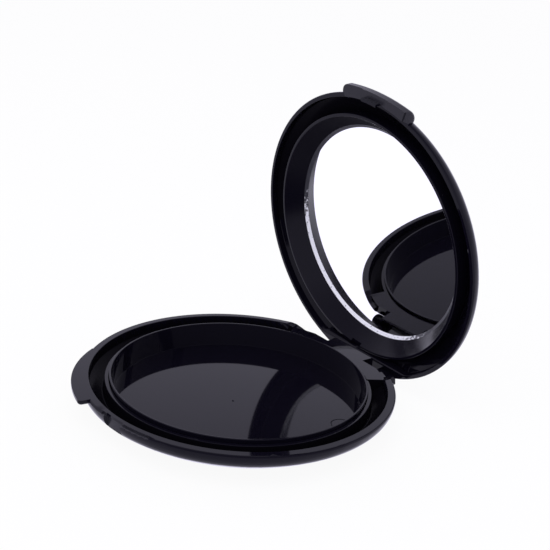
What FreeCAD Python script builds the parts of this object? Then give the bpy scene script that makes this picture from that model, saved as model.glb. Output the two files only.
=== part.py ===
"""Round clamshell palette case: a shallow well in the base, a mirror in the lid, a hinge and a clasp.

Millimetres. Origin at the centre of the foot, on the table; +Z up, +Y towards the hinge.
The lid is made shut, in place over the base, and is then turned open about the hinge.
"""
import FreeCAD, Part
import math
import os

from FreeCAD import Vector

# Base shell
BASE_RADIUS = 37.0
BASE_HEIGHT = 7.8
RIM_WIDTH = 1.95
RIM_EDGE = 0.35
FINE_EDGE = 0.15
GROOVE_EDGE = 0.4
SIDE_DEPTH = 2.4
SIDE_ROUND = 3.4
BELLY_BREAK_INSET = 3.6
BELLY_BREAK_DEPTH = 5.0
BELLY_ROUND = 12.0
FOOT_INSET = 9.6
FOOT_EDGE = 0.4
SHELL_WALL = 1.1
FLOOR_WALL = 1.35

# Well tray, seated in the ring of the base
GROOVE_WIDTH = 3.6
TRAY_WALL = 0.5
TRAY_FLOOR = 0.55
TRAY_DRAFT = 0.55
TRAY_CORNER = 0.45
SEAT_GAP = 0.1
SEAT_EDGE = 0.4
RING_WIDTH = 0.85
LEDGE_DROP = 0.95

# Lid shell
LID_INSET = 0.2
LID_RIM_WIDTH = 1.1
LID_RIM_EDGE = 0.3
LID_SIDE_DEPTH = 2.3
LID_BREAK_INSET = 3.4
LID_BREAK_HEIGHT = 4.75
LID_SHOULDER_INSET = 8.2
LID_CROWN = 0.5
LID_WALL = 1.0
PARTING_GAP = 0.15
LID_BACK_FLAT = 0.4
OPEN_ANGLE = 79.7

# Mirror and the frame that holds it
MIRROR_THICKNESS = 1.0
MIRROR_BEVEL_WIDTH = 1.3
MIRROR_BEVEL_DROP = 0.2
MIRROR_DEPTH = 5.0
MIRROR_GAP = 0.2
TAPE_THICKNESS = 0.1
TAPE_INSET = 1.5
LID_GROOVE_WIDTH = 4.0
FRAME_DRAFT = 0.1
FRAME_LIP = 0.7
FRAME_SLANT = 3.0
FRAME_RECESS = 0.55
FRAME_OVERLAP = 0.4
FRAME_WALL = 0.8
NOTCH_CENTRE = -2.9
NOTCH_WIDTH = 3.4
NOTCH_HEIGHT = 0.7

# Hinge
HINGE_INSET = 2.8
KNUCKLE_RADIUS = 2.0
KNUCKLE_LIFT = 0.1
KNUCKLE_HEEL = 1.0
KNUCKLE_TOE = 0.4
TOE_ROUND = 1.5
CENTRE_KNUCKLE = 13.6
LUG_WIDTH = 5.4
SIDE_GAP = 0.3
PLATFORM_DROP = 0.8
PLATFORM_EDGE = 0.6
PLATFORM_SPREAD = 29.7
PLATFORM_LAP = 0.4
RIM_CUT_HALF = 15.5
RIM_CUT_DROP = 1.6
RIM_CUT_RAMP = 4.0
RIM_CUT_ROUND = 3.0
RIM_CUT_LIFT = 0.12
LAND_FRONT = 2.2
LAND_EDGE = 0.3
LUG_FRONT = 0.5
PIN_RADIUS = 0.8
PIN_BITE = 4.5
PIN_RECESS = 0.2
PIN_CHAMFER = 0.2
PIN_SEAT_GAP = 0.02
PIN_RUN_GAP = 0.06

# Thumb tab, shared by base and lid, and the clasp
TAB_LENGTH = 2.4
TAB_ARC = 31.3
TAB_ROOT = 0.1
TAB_CORNER = 0.9
BASE_TAB_END = 262.7
BASE_TAB_THICKNESS = 1.3
BASE_TAB_ROUND = 0.8
LID_TAB_START = 261.9
LID_TAB_END = 296.3
LID_TAB_LENGTH = 2.2
LID_TAB_HOLLOW = 0.5
LID_TAB_CORNER = 1.8
LID_TAB_HEIGHT = 2.6
LID_TAB_ROUND = 1.5
PAD_START = 272.7
PAD_END = 293.5
PAD_INSET = 0.5
PAD_DROP = 0.3
HOOK_START = 274.3
HOOK_END = 281.9
HOOK_INSET = 0.55
HOOK_WALL = 0.5
HOOK_DROP = 1.6
BEAD_HEIGHT = 0.5
BEAD_REACH = 0.2
POCKET_WIDEN = 0.6
POCKET_WALL = 0.8
POCKET_DEPTH = 3.65
CATCH_REACH = 0.2
CATCH_GAP = 0.3
STEP_START = 272.0
STEP_END = 294.5
STEP_WIDTH = 0.7
STEP_DROP = 0.4

# Worked out from the sizes above
ORIGIN = Vector(0, 0, 0)
UP = Vector(0, 0, 1)
SIDEWAYS = Vector(1, 0, 0)
FAR = 3 * BASE_RADIUS
CLOSED = 1e-6
LEAST_ROUND = 0.5
HINGE_ANGLE = 90.0
RIM_Z = BASE_HEIGHT
LID_Z = RIM_Z + PARTING_GAP
FOOT_RADIUS = BASE_RADIUS - FOOT_INSET
RIM_INNER = BASE_RADIUS - RIM_WIDTH
RING_RADIUS = RIM_INNER - GROOVE_WIDTH
SEAT_RADIUS = RING_RADIUS - RING_WIDTH
TRAY_RADIUS = SEAT_RADIUS - SEAT_GAP
LID_RADIUS = BASE_RADIUS - LID_INSET
LID_RIM_INNER = LID_RADIUS - LID_RIM_WIDTH
LID_SHOULDER_RADIUS = LID_RADIUS - LID_SHOULDER_INSET
FRAME_RADIUS = LID_RIM_INNER - LID_GROOVE_WIDTH
FRAME_OPENING = FRAME_RADIUS - FRAME_LIP - FRAME_SLANT
MIRROR_RADIUS = FRAME_OPENING + FRAME_OVERLAP
LID_FLOOR = MIRROR_DEPTH + MIRROR_THICKNESS + TAPE_THICKNESS
LID_SHOULDER_HEIGHT = LID_FLOOR + LID_WALL
HINGE_SETBACK = BASE_RADIUS - HINGE_INSET
HINGE_AXIS = Vector(0, HINGE_SETBACK, KNUCKLE_RADIUS + KNUCKLE_LIFT)
LAND_SETBACK = HINGE_SETBACK - LAND_FRONT
LUG_INNER = CENTRE_KNUCKLE / 2 + SIDE_GAP
LUG_OUTER = LUG_INNER + LUG_WIDTH
PLATFORM_Z = RIM_Z - PLATFORM_DROP
BELLY = [
    (BASE_RADIUS, SIDE_DEPTH),
    (BASE_RADIUS - BELLY_BREAK_INSET, BELLY_BREAK_DEPTH),
    (FOOT_RADIUS, BASE_HEIGHT),
]
LID_BELLY = [
    (LID_RADIUS, LID_SIDE_DEPTH),
    (LID_RADIUS - LID_BREAK_INSET, LID_BREAK_HEIGHT),
    (LID_SHOULDER_RADIUS, LID_SHOULDER_HEIGHT),
]


def corner_reaches(corners):
    """How far along its two sides each rounded corner runs, eased where two of them would overlap."""
    points = [Vector(u, v, 0) for u, v, _ in corners]
    count = len(points)
    halves = []
    for index, point in enumerate(points):
        to_before = points[index - 1].sub(point)
        to_after = points[(index + 1) % count].sub(point)
        halves.append(to_before.getAngle(to_after) / 2)
    wanted = [radius / math.tan(half) for (_, _, radius), half in zip(corners, halves)]
    shares = []
    for index, point in enumerate(points):
        following = (index + 1) % count
        length = point.distanceToPoint(points[following])
        shares.append(min(1.0, length / max(wanted[index] + wanted[following], length)))
    eased = [reach * min(shares[index - 1], shares[index]) for index, reach in enumerate(wanted)]
    return list(zip(eased, halves))


def rounded_wire(corners, place):
    """Closed wire through (u, v, round) corners: small rounds are flats that break the edge, others arcs."""
    starts = []
    mids = []
    ends = []
    count = len(corners)
    for index, (reach, half) in enumerate(corner_reaches(corners)):
        corner = Vector(corners[index][0], corners[index][1], 0)
        before = corners[index - 1]
        after = corners[(index + 1) % count]
        to_before = Vector(before[0], before[1], 0).sub(corner).normalize()
        to_after = Vector(after[0], after[1], 0).sub(corner).normalize()
        bisector = to_before.add(to_after).normalize()
        cut_off = reach / math.cos(half) - reach * math.tan(half)
        starts.append(corner.add(to_before.multiply(reach)))
        mids.append(corner.add(bisector.multiply(cut_off)))
        ends.append(corner.add(to_after.multiply(reach)))
    edges = []
    for index in range(count):
        start, middle, end = place(starts[index]), place(mids[index]), place(ends[index])
        following = place(starts[(index + 1) % count])
        if corners[index][2] >= LEAST_ROUND:
            edges.append(Part.Arc(start, middle, end).toShape())
        elif start.distanceToPoint(end) > CLOSED:
            edges.append(Part.LineSegment(start, end).toShape())
        if end.distanceToPoint(following) > CLOSED:
            edges.append(Part.LineSegment(end, following).toShape())
    return Part.Wire(edges)


def turned(corners, start=0, sweep=360):
    """Solid of revolution about Z from (radius, height, round) corners, over all or part of a turn."""
    section = Part.Face(rounded_wire(corners, lambda p: Vector(p.x, 0, p.y)))
    section.rotate(ORIGIN, UP, start)
    return section.revolve(ORIGIN, UP, sweep)


def side_prism(corners, x_from, x_to):
    """Prism along X from (y, z, round) corners."""
    wire = rounded_wire(corners, lambda p: Vector(x_from, p.x, p.y))
    return Part.Face(wire).extrude(Vector(x_to - x_from, 0, 0))


def polar(radius, angle, height=0.0):
    """Point at a radius and an angle in degrees, counted from +X."""
    turn = math.radians(angle)
    return Vector(radius * math.cos(turn), radius * math.sin(turn), height)


def sector(inner, outer, start, end, low, high):
    """Part of a ring between two angles and two heights."""
    middle = (start + end) / 2
    wire = Part.Wire([
        Part.Arc(polar(inner, start, low), polar(inner, middle, low), polar(inner, end, low)).toShape(),
        Part.LineSegment(polar(inner, end, low), polar(outer, end, low)).toShape(),
        Part.Arc(polar(outer, end, low), polar(outer, middle, low), polar(outer, start, low)).toShape(),
        Part.LineSegment(polar(outer, start, low), polar(inner, start, low)).toShape(),
    ])
    return Part.Face(wire).extrude(Vector(0, 0, high - low))


def along(line, radius):
    """Distance from the parting plane of a broken line of (radius, distance) points, and its slope."""
    for (outer, near), (inner, far) in zip(line, line[1:]):
        if inner <= radius <= outer:
            slope = (far - near) / (outer - inner)
            return near + slope * (outer - radius), slope
    return line[0][1], 0.0


def skin(line, radius, wall):
    """Inner side of a wall that follows the broken line at this radius."""
    distance, slope = along(line, radius)
    return distance - wall * math.hypot(1, slope)


def drum(radius, low, high):
    """Plain round bar about Z."""
    return Part.makeCylinder(radius, high - low, Vector(0, 0, low), UP)


def cross_bar(radius, x_from, x_to):
    """Round bar along the hinge axis."""
    start = HINGE_AXIS.add(Vector(x_from, 0, 0))
    return Part.makeCylinder(radius, x_to - x_from, start, SIDEWAYS)


def tab_plan(start, middle, end, height):
    """Plan of half a thumb tab: an arc through three (radius, angle) points, closed well inside the rim."""
    inside = BASE_RADIUS / 2
    inner = [polar(inside, angle, height) for _, angle in (start, middle, end)]
    outer = [polar(radius, angle, height) for radius, angle in (start, middle, end)]
    wire = Part.Wire([
        Part.Arc(outer[0], outer[1], outer[2]).toShape(),
        Part.LineSegment(outer[2], inner[2]).toShape(),
        Part.Arc(inner[2], inner[1], inner[0]).toShape(),
        Part.LineSegment(inner[0], outer[0]).toShape(),
    ])
    return Part.Face(wire)


def base_tab_plan(height):
    """The base's half: one arc, from the rim to its farthest reach at the split."""
    reach = BASE_RADIUS + TAB_LENGTH
    centre = reach - TAB_ARC
    root = BASE_RADIUS - TAB_ROOT
    spread = math.acos((root ** 2 + centre ** 2 - TAB_ARC ** 2) / (2 * root * centre))
    half = spread / 2
    middle = centre * math.cos(half) + math.sqrt(TAB_ARC ** 2 - (centre * math.sin(half)) ** 2)
    return tab_plan(
        (root, BASE_TAB_END - math.degrees(spread)),
        (middle, BASE_TAB_END - math.degrees(half)),
        (reach, BASE_TAB_END),
        height,
    )


def lid_tab_plan(height):
    """The lid's half: a flatter arc from the split to the far end of the clasp."""
    reach = LID_RADIUS + LID_TAB_LENGTH
    middle = (LID_TAB_START + LID_TAB_END) / 2
    return tab_plan((reach, LID_TAB_START), (reach - LID_TAB_HOLLOW, middle), (reach, LID_TAB_END), height)


def rounded_tab(tab, body_radius, corner_round, level, level_round):
    """A tab with its free upright corners rounded, and then its outer edge at one level."""
    uprights = [
        edge for edge in tab.Edges
        if edge.BoundBox.ZLength > tab.BoundBox.ZLength / 2
        and math.hypot(edge.CenterOfMass.x, edge.CenterOfMass.y) > body_radius + TAB_ROOT
    ]
    tab = tab.makeFillet(corner_round, uprights)
    outer = [
        edge for edge in tab.Edges
        if abs(edge.CenterOfMass.z - level) < CLOSED
        and math.hypot(edge.CenterOfMass.x, edge.CenterOfMass.y) > body_radius + TAB_ROOT
    ]
    return tab.makeFillet(level_round, outer)


def base_body():
    """Turned bowl: flat foot, rounded belly, flat rim, deep groove, and the ring that seats the tray."""
    seat_foot = SEAT_RADIUS - TRAY_DRAFT
    groove_outer = skin(BELLY, RIM_INNER, SHELL_WALL)
    groove_inner = skin(BELLY, RING_RADIUS, SHELL_WALL)
    return turned([
        (0, 0, 0),
        (FOOT_RADIUS, 0, FOOT_EDGE),
        (BELLY[1][0], RIM_Z - BELLY[1][1], BELLY_ROUND),
        (BELLY[0][0], RIM_Z - BELLY[0][1], SIDE_ROUND),
        (BASE_RADIUS, RIM_Z, RIM_EDGE),
        (RIM_INNER, RIM_Z, RIM_EDGE / 2),
        (RIM_INNER, RIM_Z - groove_outer, GROOVE_EDGE),
        (RING_RADIUS, RIM_Z - groove_inner, GROOVE_EDGE),
        (RING_RADIUS, RIM_Z - LEDGE_DROP, FINE_EDGE),
        (SEAT_RADIUS, RIM_Z - LEDGE_DROP, 0),
        (seat_foot, FLOOR_WALL, SEAT_EDGE),
        (0, FLOOR_WALL, 0),
    ])


def rim_cut():
    """Room at the back for the hinge: the rim is taken down, with a rounded ramp at each end."""
    floor = RIM_Z - RIM_CUT_DROP
    brow = RIM_Z + RIM_CUT_LIFT
    top = RIM_Z + RIM_CUT_DROP
    flat = RIM_CUT_HALF
    high = flat + RIM_CUT_RAMP
    end = high + RIM_CUT_RAMP
    wire = rounded_wire(
        [
            (-end, top, 0),
            (-end, brow, 0),
            (-high, brow, RIM_CUT_ROUND),
            (-flat, floor, RIM_CUT_ROUND),
            (flat, floor, RIM_CUT_ROUND),
            (high, brow, RIM_CUT_ROUND),
            (end, brow, 0),
            (end, top, 0),
        ],
        lambda p: Vector(p.x, 0, p.y),
    )
    room = Part.Face(wire).extrude(Vector(0, FAR, 0))
    return room.cut(drum(RING_RADIUS, 0, 2 * RIM_Z))


def hinge_platform():
    """Stretch of the groove in front of the hinge that is filled almost up to the rim."""
    inner = RING_RADIUS - PLATFORM_LAP
    outer = RIM_INNER + PLATFORM_LAP
    return turned(
        [
            (inner, RIM_Z - skin(BELLY, inner, SHELL_WALL / 2), 0),
            (outer, RIM_Z - skin(BELLY, outer, SHELL_WALL / 2), 0),
            (outer, PLATFORM_Z, 0),
            (inner, PLATFORM_Z, 0),
        ],
        HINGE_ANGLE - PLATFORM_SPREAD,
        2 * PLATFORM_SPREAD,
    )


def centre_knuckle():
    """The base's one wide knuckle, rooted in the wall behind the ring."""
    back = HINGE_SETBACK + KNUCKLE_HEEL + KNUCKLE_RADIUS
    low = HINGE_AXIS.z - KNUCKLE_RADIUS
    half = CENTRE_KNUCKLE / 2
    inside = RING_RADIUS - PLATFORM_LAP
    front = math.sqrt(inside ** 2 - half ** 2)
    root = RIM_Z - skin(BELLY, inside, SHELL_WALL / 2)
    block = side_prism(
        [
            (front, PLATFORM_Z, 0),
            (back, PLATFORM_Z, PLATFORM_EDGE),
            (back, low, KNUCKLE_RADIUS),
            (HINGE_SETBACK - KNUCKLE_TOE, low, TOE_ROUND),
            (inside, root, 0),
            (front, root, 0),
        ],
        -half,
        half,
    )
    return block.cut(drum(inside, -RIM_Z, 2 * RIM_Z))


def lug_slot(x_from, x_to):
    """Room in the base for one lug of the lid: open to the back, and hollow round the barrel."""
    front = HINGE_SETBACK - LUG_FRONT - SIDE_GAP
    slot = Part.makeBox(x_to - x_from, FAR, 3 * RIM_Z, Vector(x_from, front, -RIM_Z))
    return slot.fuse(cross_bar(KNUCKLE_RADIUS + SIDE_GAP, x_from, x_to))


def clasp_recess():
    """Pocket in the rim for the lid's hook, less the catch above its bead, and the step for the lid's pad."""
    wall = RIM_INNER + POCKET_WALL
    start = HOOK_START - POCKET_WIDEN
    end = HOOK_END + POCKET_WIDEN
    pocket = sector(wall, FAR, start, end, RIM_Z - POCKET_DEPTH, 2 * RIM_Z)
    catch_low = LID_Z - HOOK_DROP + BEAD_HEIGHT + CATCH_GAP
    catch = sector(RIM_INNER, wall + CATCH_REACH, start, end, catch_low, RIM_Z)
    step = sector(BASE_RADIUS - STEP_WIDTH, FAR, STEP_START, STEP_END, RIM_Z - STEP_DROP, 2 * RIM_Z)
    return pocket.cut(catch), step


def base_shell():
    """The moulded base in one piece."""
    shell = base_body().cut(rim_cut()).fuse(hinge_platform()).fuse(centre_knuckle())
    for start, end in ((LUG_INNER, LUG_OUTER), (-LUG_OUTER, -LUG_INNER)):
        shell = shell.cut(lug_slot(start - SIDE_GAP, end + SIDE_GAP))
    low = RIM_Z - BASE_TAB_THICKNESS
    tab = base_tab_plan(low).extrude(Vector(0, 0, BASE_TAB_THICKNESS))
    tab = rounded_tab(tab, BASE_RADIUS, TAB_CORNER, low, BASE_TAB_ROUND)
    shell = shell.fuse(tab.cut(drum(BASE_RADIUS - RIM_WIDTH / 2, -RIM_Z, 2 * RIM_Z)))
    for room in clasp_recess():
        shell = shell.cut(room)
    for side in (-1, 1):
        inner = side * (CENTRE_KNUCKLE / 2 - PIN_BITE)
        outer = side * LUG_OUTER
        bore = cross_bar(PIN_RADIUS + PIN_SEAT_GAP, min(inner, outer), max(inner, outer))
        shell = shell.cut(bore)
    return shell.removeSplitter()


def well_tray():
    """Thin pan with drafted walls, its lip standing proud of the ledge."""
    floor = FLOOR_WALL + TRAY_FLOOR
    return turned([
        (0, FLOOR_WALL, 0),
        (TRAY_RADIUS - TRAY_DRAFT, FLOOR_WALL, TRAY_CORNER + TRAY_WALL),
        (TRAY_RADIUS, RIM_Z, FINE_EDGE),
        (TRAY_RADIUS - TRAY_WALL, RIM_Z, FINE_EDGE),
        (TRAY_RADIUS - TRAY_WALL - TRAY_DRAFT, floor, TRAY_CORNER),
        (0, floor, 0),
    ])


def lid_body():
    """Turned cover: thin rim, deep groove, pocket for the mirror, rounded belly and a low crown."""
    groove = skin(LID_BELLY, LID_RIM_INNER, LID_WALL)
    pocket = MIRROR_RADIUS + MIRROR_GAP
    pocket_rise = LID_Z + min(LID_FLOOR, skin(LID_BELLY, FRAME_RADIUS, LID_WALL))
    top = LID_Z + LID_SHOULDER_HEIGHT
    solid = turned([
        (0, LID_Z + LID_FLOOR, 0),
        (pocket, LID_Z + LID_FLOOR, 0),
        (pocket, LID_Z + MIRROR_DEPTH + MIRROR_THICKNESS / 2, 0),
        (FRAME_RADIUS, pocket_rise, GROOVE_EDGE),
        (LID_RIM_INNER, LID_Z + groove, GROOVE_EDGE),
        (LID_RIM_INNER, LID_Z, LID_RIM_EDGE / 2),
        (LID_RADIUS, LID_Z, LID_RIM_EDGE),
        (LID_BELLY[0][0], LID_Z + LID_BELLY[0][1], SIDE_ROUND),
        (LID_BELLY[1][0], LID_Z + LID_BELLY[1][1], BELLY_ROUND),
        (LID_SHOULDER_RADIUS, top, 0),
        (0, top, 0),
    ])
    ball = (LID_SHOULDER_RADIUS ** 2 + LID_CROWN ** 2) / (2 * LID_CROWN)
    crown = Part.makeSphere(ball, Vector(0, 0, top + LID_CROWN - ball), UP)
    above = drum(LID_SHOULDER_RADIUS, top - LID_WALL / 2, top + LID_CROWN)
    return solid.fuse(crown.common(above))


def hinge_land():
    """Solid back of the lid behind a chord, level with its rim, the chord's edge broken by a small flat."""
    high = LID_Z + skin(LID_BELLY, LID_RIM_INNER, LID_WALL / 2)
    plate = drum(LID_RADIUS - LID_RIM_EDGE, LID_Z, high)
    keep = side_prism(
        [(LAND_SETBACK, LID_Z, LAND_EDGE), (FAR, LID_Z, 0), (FAR, high, 0), (LAND_SETBACK, high, 0)],
        -FAR,
        FAR,
    )
    return plate.common(keep)


def lid_lug(x_from, x_to):
    """One lug: a barrel on the hinge axis and the web that carries it."""
    top = LID_Z + LID_RIM_EDGE
    barrel = cross_bar(KNUCKLE_RADIUS, x_from, x_to)
    web = side_prism(
        [
            (HINGE_SETBACK - LUG_FRONT, HINGE_AXIS.z, 0),
            (HINGE_SETBACK + KNUCKLE_RADIUS, HINGE_AXIS.z, 0),
            (HINGE_SETBACK + KNUCKLE_RADIUS, top, 0),
            (HINGE_SETBACK - LUG_FRONT, top, 0),
        ],
        x_from,
        x_to,
    )
    return barrel.fuse(web)


def lid_tab():
    """The lid's half of the thumb tab, with the pad and the beaded hook that snap into the base."""
    top = LID_Z + LID_TAB_HEIGHT
    tab = lid_tab_plan(LID_Z).extrude(Vector(0, 0, LID_TAB_HEIGHT))
    tab = rounded_tab(tab, LID_RADIUS, LID_TAB_CORNER, top, LID_TAB_ROUND)
    tab = tab.cut(drum(LID_RADIUS - LID_RIM_WIDTH / 2, 0, 4 * RIM_Z))
    root = LID_Z + LID_RIM_EDGE
    pad_low = LID_Z - PAD_DROP
    plan = lid_tab_plan(pad_low).extrude(Vector(0, 0, root - pad_low))
    pad = plan.common(sector(BASE_RADIUS - PAD_INSET, FAR, PAD_START, PAD_END, pad_low, root))
    hook_low = LID_Z - HOOK_DROP
    inner = BASE_RADIUS - HOOK_INSET
    outer = inner + HOOK_WALL
    hook = sector(inner, outer, HOOK_START, HOOK_END, hook_low, root)
    bead = sector(inner - BEAD_REACH, outer, HOOK_START, HOOK_END, hook_low, hook_low + BEAD_HEIGHT)
    return tab.fuse(pad).fuse(hook).fuse(bead)


def opened(shape):
    """Turns a piece of the shut lid to its place on the open lid."""
    turned_shape = shape.copy()
    turned_shape.rotate(HINGE_AXIS, SIDEWAYS, -OPEN_ANGLE)
    return turned_shape


def lid_shell():
    """The moulded lid in one piece."""
    lid = lid_body().fuse(hinge_land()).fuse(lid_tab())
    back = Part.makeBox(2 * FAR, FAR, 4 * RIM_Z, Vector(-FAR, LID_RADIUS - LID_BACK_FLAT, 0))
    lid = lid.cut(back)
    for start in (LUG_INNER, -LUG_OUTER):
        lid = lid.fuse(lid_lug(start, start + LUG_WIDTH))
    lid = lid.cut(cross_bar(PIN_RADIUS + PIN_RUN_GAP, -FAR, FAR))
    return opened(lid.removeSplitter())


def mirror_frame():
    """Funnel ring round the mirror: thin lip, drafted outer leg, wide slanted inner leg, hollow between."""
    lip = LID_Z + FRAME_RECESS
    lip_inner = FRAME_RADIUS - FRAME_LIP
    glass = LID_Z + MIRROR_DEPTH
    leg_foot = LID_Z + skin(LID_BELLY, FRAME_RADIUS, LID_WALL)
    lean = FRAME_SLANT / (glass - lip)
    inner_leg = FRAME_WALL * math.hypot(1, lean)
    apex = lip + (FRAME_RADIUS - FRAME_WALL - lip_inner + inner_leg) / lean / 2
    ring = turned([
        (FRAME_RADIUS, lip, FINE_EDGE),
        (FRAME_RADIUS - FRAME_DRAFT, leg_foot, 0),
        (FRAME_RADIUS - FRAME_DRAFT - FRAME_WALL, leg_foot, 0),
        (FRAME_RADIUS - FRAME_DRAFT - FRAME_WALL, apex + FRAME_WALL, 0),
        (FRAME_OPENING + inner_leg, glass, 0),
        (FRAME_OPENING, glass, 0),
        (lip_inner, lip, FINE_EDGE),
    ])
    notch = Part.makeBox(
        NOTCH_WIDTH,
        FRAME_RADIUS,
        NOTCH_HEIGHT + FRAME_RECESS,
        Vector(NOTCH_CENTRE - NOTCH_WIDTH / 2, 0, LID_Z),
    )
    return opened(ring.cut(notch))


def mirror_glass():
    """Round silvered glass with a ground bevel."""
    front = LID_Z + MIRROR_DEPTH
    return opened(turned([
        (0, front, 0),
        (MIRROR_RADIUS - MIRROR_BEVEL_WIDTH, front, 0),
        (MIRROR_RADIUS, front + MIRROR_BEVEL_DROP, 0),
        (MIRROR_RADIUS, front + MIRROR_THICKNESS, 0),
        (0, front + MIRROR_THICKNESS, 0),
    ]))


def mirror_tape():
    """Disc of double-sided tape behind the glass."""
    back = LID_Z + MIRROR_DEPTH + MIRROR_THICKNESS
    return opened(drum(MIRROR_RADIUS - TAPE_INSET, back, back + TAPE_THICKNESS))


def hinge_pin(side):
    """Short steel pin, tight in the base's knuckle and free in the lug beside it."""
    inner = CENTRE_KNUCKLE / 2 - PIN_BITE
    outer = LUG_OUTER - PIN_RECESS
    start = min(side * inner, side * outer)
    pin = cross_bar(PIN_RADIUS, start, start + outer - inner)
    return pin.makeChamfer(PIN_CHAMFER, pin.Edges)


def main():
    """Builds each piece and writes it as a STEP file of its own."""
    os.makedirs("parts", exist_ok=True)
    pieces = {
        "base_shell": base_shell(),
        "well_tray": well_tray(),
        "lid_shell": lid_shell(),
        "mirror_frame": mirror_frame(),
        "mirror_glass": mirror_glass(),
        "mirror_tape": mirror_tape(),
        "hinge_pin_left": hinge_pin(-1),
        "hinge_pin_right": hinge_pin(1),
    }
    for name, shape in pieces.items():
        shape.exportStep(os.path.join("parts", name + ".step"))
        box = shape.optimalBoundingBox(False)
        print(
            name,
            "valid" if shape.isValid() else "NOT VALID",
            len(shape.Solids),
            round(shape.Volume, 2),
            [round(v, 2) for v in (box.XMin, box.YMin, box.ZMin, box.XMax, box.YMax, box.ZMax)],
        )


main()
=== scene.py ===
"""Looks of the round palette case.

Moulded gloss shells, a turned well, a mirror with a ground edge, and a studio to show them in.
Metres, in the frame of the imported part: origin at the centre of the foot, +Z up, +Y towards the hinge.
"""

import logging
import math
from dataclasses import dataclass, field
from enum import Enum
from typing import Any, ClassVar, Optional, Sequence

import bmesh
import bpy
from bpy.types import ID, Material, Mesh, MeshPolygon, Node, NodeSocket as Socket, NodeTree, Object
from mathutils import Matrix, Vector


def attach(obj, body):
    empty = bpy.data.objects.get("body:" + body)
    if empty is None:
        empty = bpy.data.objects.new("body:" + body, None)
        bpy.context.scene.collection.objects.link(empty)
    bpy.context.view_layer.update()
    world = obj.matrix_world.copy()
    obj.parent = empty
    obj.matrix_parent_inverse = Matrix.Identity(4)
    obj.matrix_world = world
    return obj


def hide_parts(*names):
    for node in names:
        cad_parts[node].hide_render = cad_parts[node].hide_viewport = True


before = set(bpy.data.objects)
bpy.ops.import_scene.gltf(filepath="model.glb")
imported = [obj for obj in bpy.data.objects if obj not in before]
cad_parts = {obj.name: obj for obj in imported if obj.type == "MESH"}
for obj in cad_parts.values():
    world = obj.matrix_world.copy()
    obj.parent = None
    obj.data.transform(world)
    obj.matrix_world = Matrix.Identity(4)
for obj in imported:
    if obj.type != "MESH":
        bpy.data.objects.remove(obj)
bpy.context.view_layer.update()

LOG = logging.getLogger("palette_case")
MM = 0.001
CREASE = math.radians(62.0)
NO_MARGIN = 1.0
WHITE = (1.0, 1.0, 1.0, 1.0)
FLATTEN = (1.0, 1.0, 0.0)
QUAD_CORNERS = 4
EVEN_WEIGHT = 50
AREA_WEIGHT = 100
STRENGTH_LAYER = "__mod_weightednormals_faceweight"

Colour = tuple[float, float, float]
Corner = tuple[float, float, float]
Direction = tuple[float, float, float]


class Body(Enum):
    """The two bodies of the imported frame."""

    BASE = "base"
    LID = "lid"


class Slot(Enum):
    """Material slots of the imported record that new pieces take."""

    PLASTIC = "black_plastic"
    MIRROR = "silvered_glass"


class NodeBench:
    """Adds nodes to one node tree and joins them."""

    def __init__(self, tree: NodeTree) -> None:
        """Takes an emptied tree to work on.

        Args:
            tree: The shader, world or geometry tree.
        """
        self.tree = tree
        tree.nodes.clear()

    def add(self, kind: str, inputs: Optional[dict[Any, Any]] = None, **settings: Any) -> Node:
        """Adds a node, sets its properties and fills or links its inputs.

        Args:
            kind: The node's type name.
            inputs: Values or output sockets by input name or index.
            **settings: Properties of the node.

        Returns:
            The new node.
        """
        node = self.tree.nodes.new(kind)
        for name, value in settings.items():
            setattr(node, name, value)
        self.feed(node, inputs or {})
        return node

    def feed(self, node: Node, inputs: dict[Any, Any]) -> None:
        """Fills or links inputs of a node.

        Args:
            node: The node.
            inputs: Values or output sockets by input name or index.
        """
        for key, value in inputs.items():
            if isinstance(value, Socket):
                self.tree.links.new(value, node.inputs[key])
            else:
                node.inputs[key].default_value = value

    def take(self, kind: str, inputs: Optional[dict[Any, Any]] = None, **settings: Any) -> Socket:
        """Adds a node as add does, and returns its first output."""
        return self.add(kind, inputs, **settings).outputs[0]

    def math(self, operation: str, first: Any, second: Any = 0.0) -> Socket:
        """Adds a Math node.

        Args:
            operation: The operation's name.
            first: A number or a socket.
            second: A number or a socket.

        Returns:
            The node's output.
        """
        return self.take("ShaderNodeMath", {0: first, 1: second}, operation=operation)

    def vector(self, operation: str, first: Any, second: Any = (0.0, 0.0, 0.0)) -> Node:
        """Adds a Vector Math node.

        Args:
            operation: The operation's name.
            first: Three numbers or a socket.
            second: Three numbers or a socket.

        Returns:
            The node.
        """
        return self.add("ShaderNodeVectorMath", {0: first, 1: second}, operation=operation)

    def remap(
        self, value: Socket, low: Any, high: Any, ends: Sequence[float] = (0.0, 1.0), smooth: bool = False
    ) -> Socket:
        """Adds a Map Range node.

        Args:
            value: The value to map.
            low: Where the range starts, as a number or a socket.
            high: Where the range ends, as a number or a socket.
            ends: What the start and the end are mapped to.
            smooth: Whether the run between them eases in and out.

        Returns:
            The mapped value.
        """
        inputs = {"Value": value, "From Min": low, "From Max": high, "To Min": ends[0], "To Max": ends[1]}
        ease = "SMOOTHSTEP" if smooth else "LINEAR"
        return self.take("ShaderNodeMapRange", inputs, interpolation_type=ease)


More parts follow.
